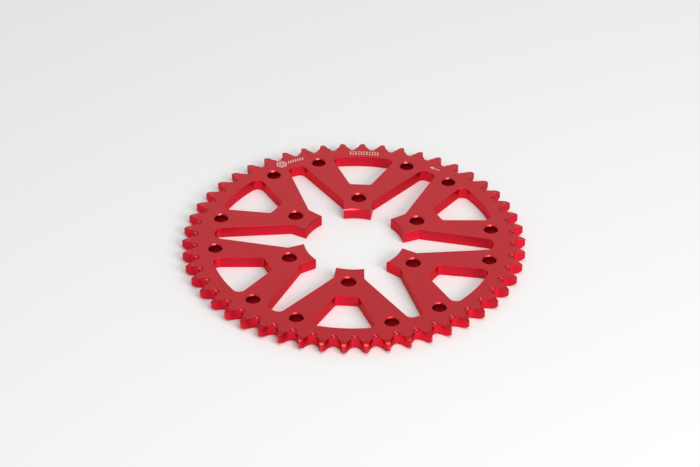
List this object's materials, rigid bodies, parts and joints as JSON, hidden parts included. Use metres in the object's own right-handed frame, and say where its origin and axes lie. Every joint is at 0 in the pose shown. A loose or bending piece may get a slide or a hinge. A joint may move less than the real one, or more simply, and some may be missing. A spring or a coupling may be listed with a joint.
{
  "type": "rear sprocket",
  "caption": "Flat toothed chain wheel with a large open centre, forked arms with windows between their legs, bolt holes round the bore and lightening holes round the rim.",
  "frame": {"origin": "on the axis, in the plane of the face that seats on the wheel hub", "axes": "+Z along the axis, away from the wheel; +Y along one of the six arms"},
  "size_m": [0.2084, 0.2086, 0.0073],
  "materials": {
    "red_anodised_aluminium": "satin red anodised"
  },
  "bodies": {
    "root": {"sprocket_plate": "red_anodised_aluminium"}
  },
  "joints": []
}
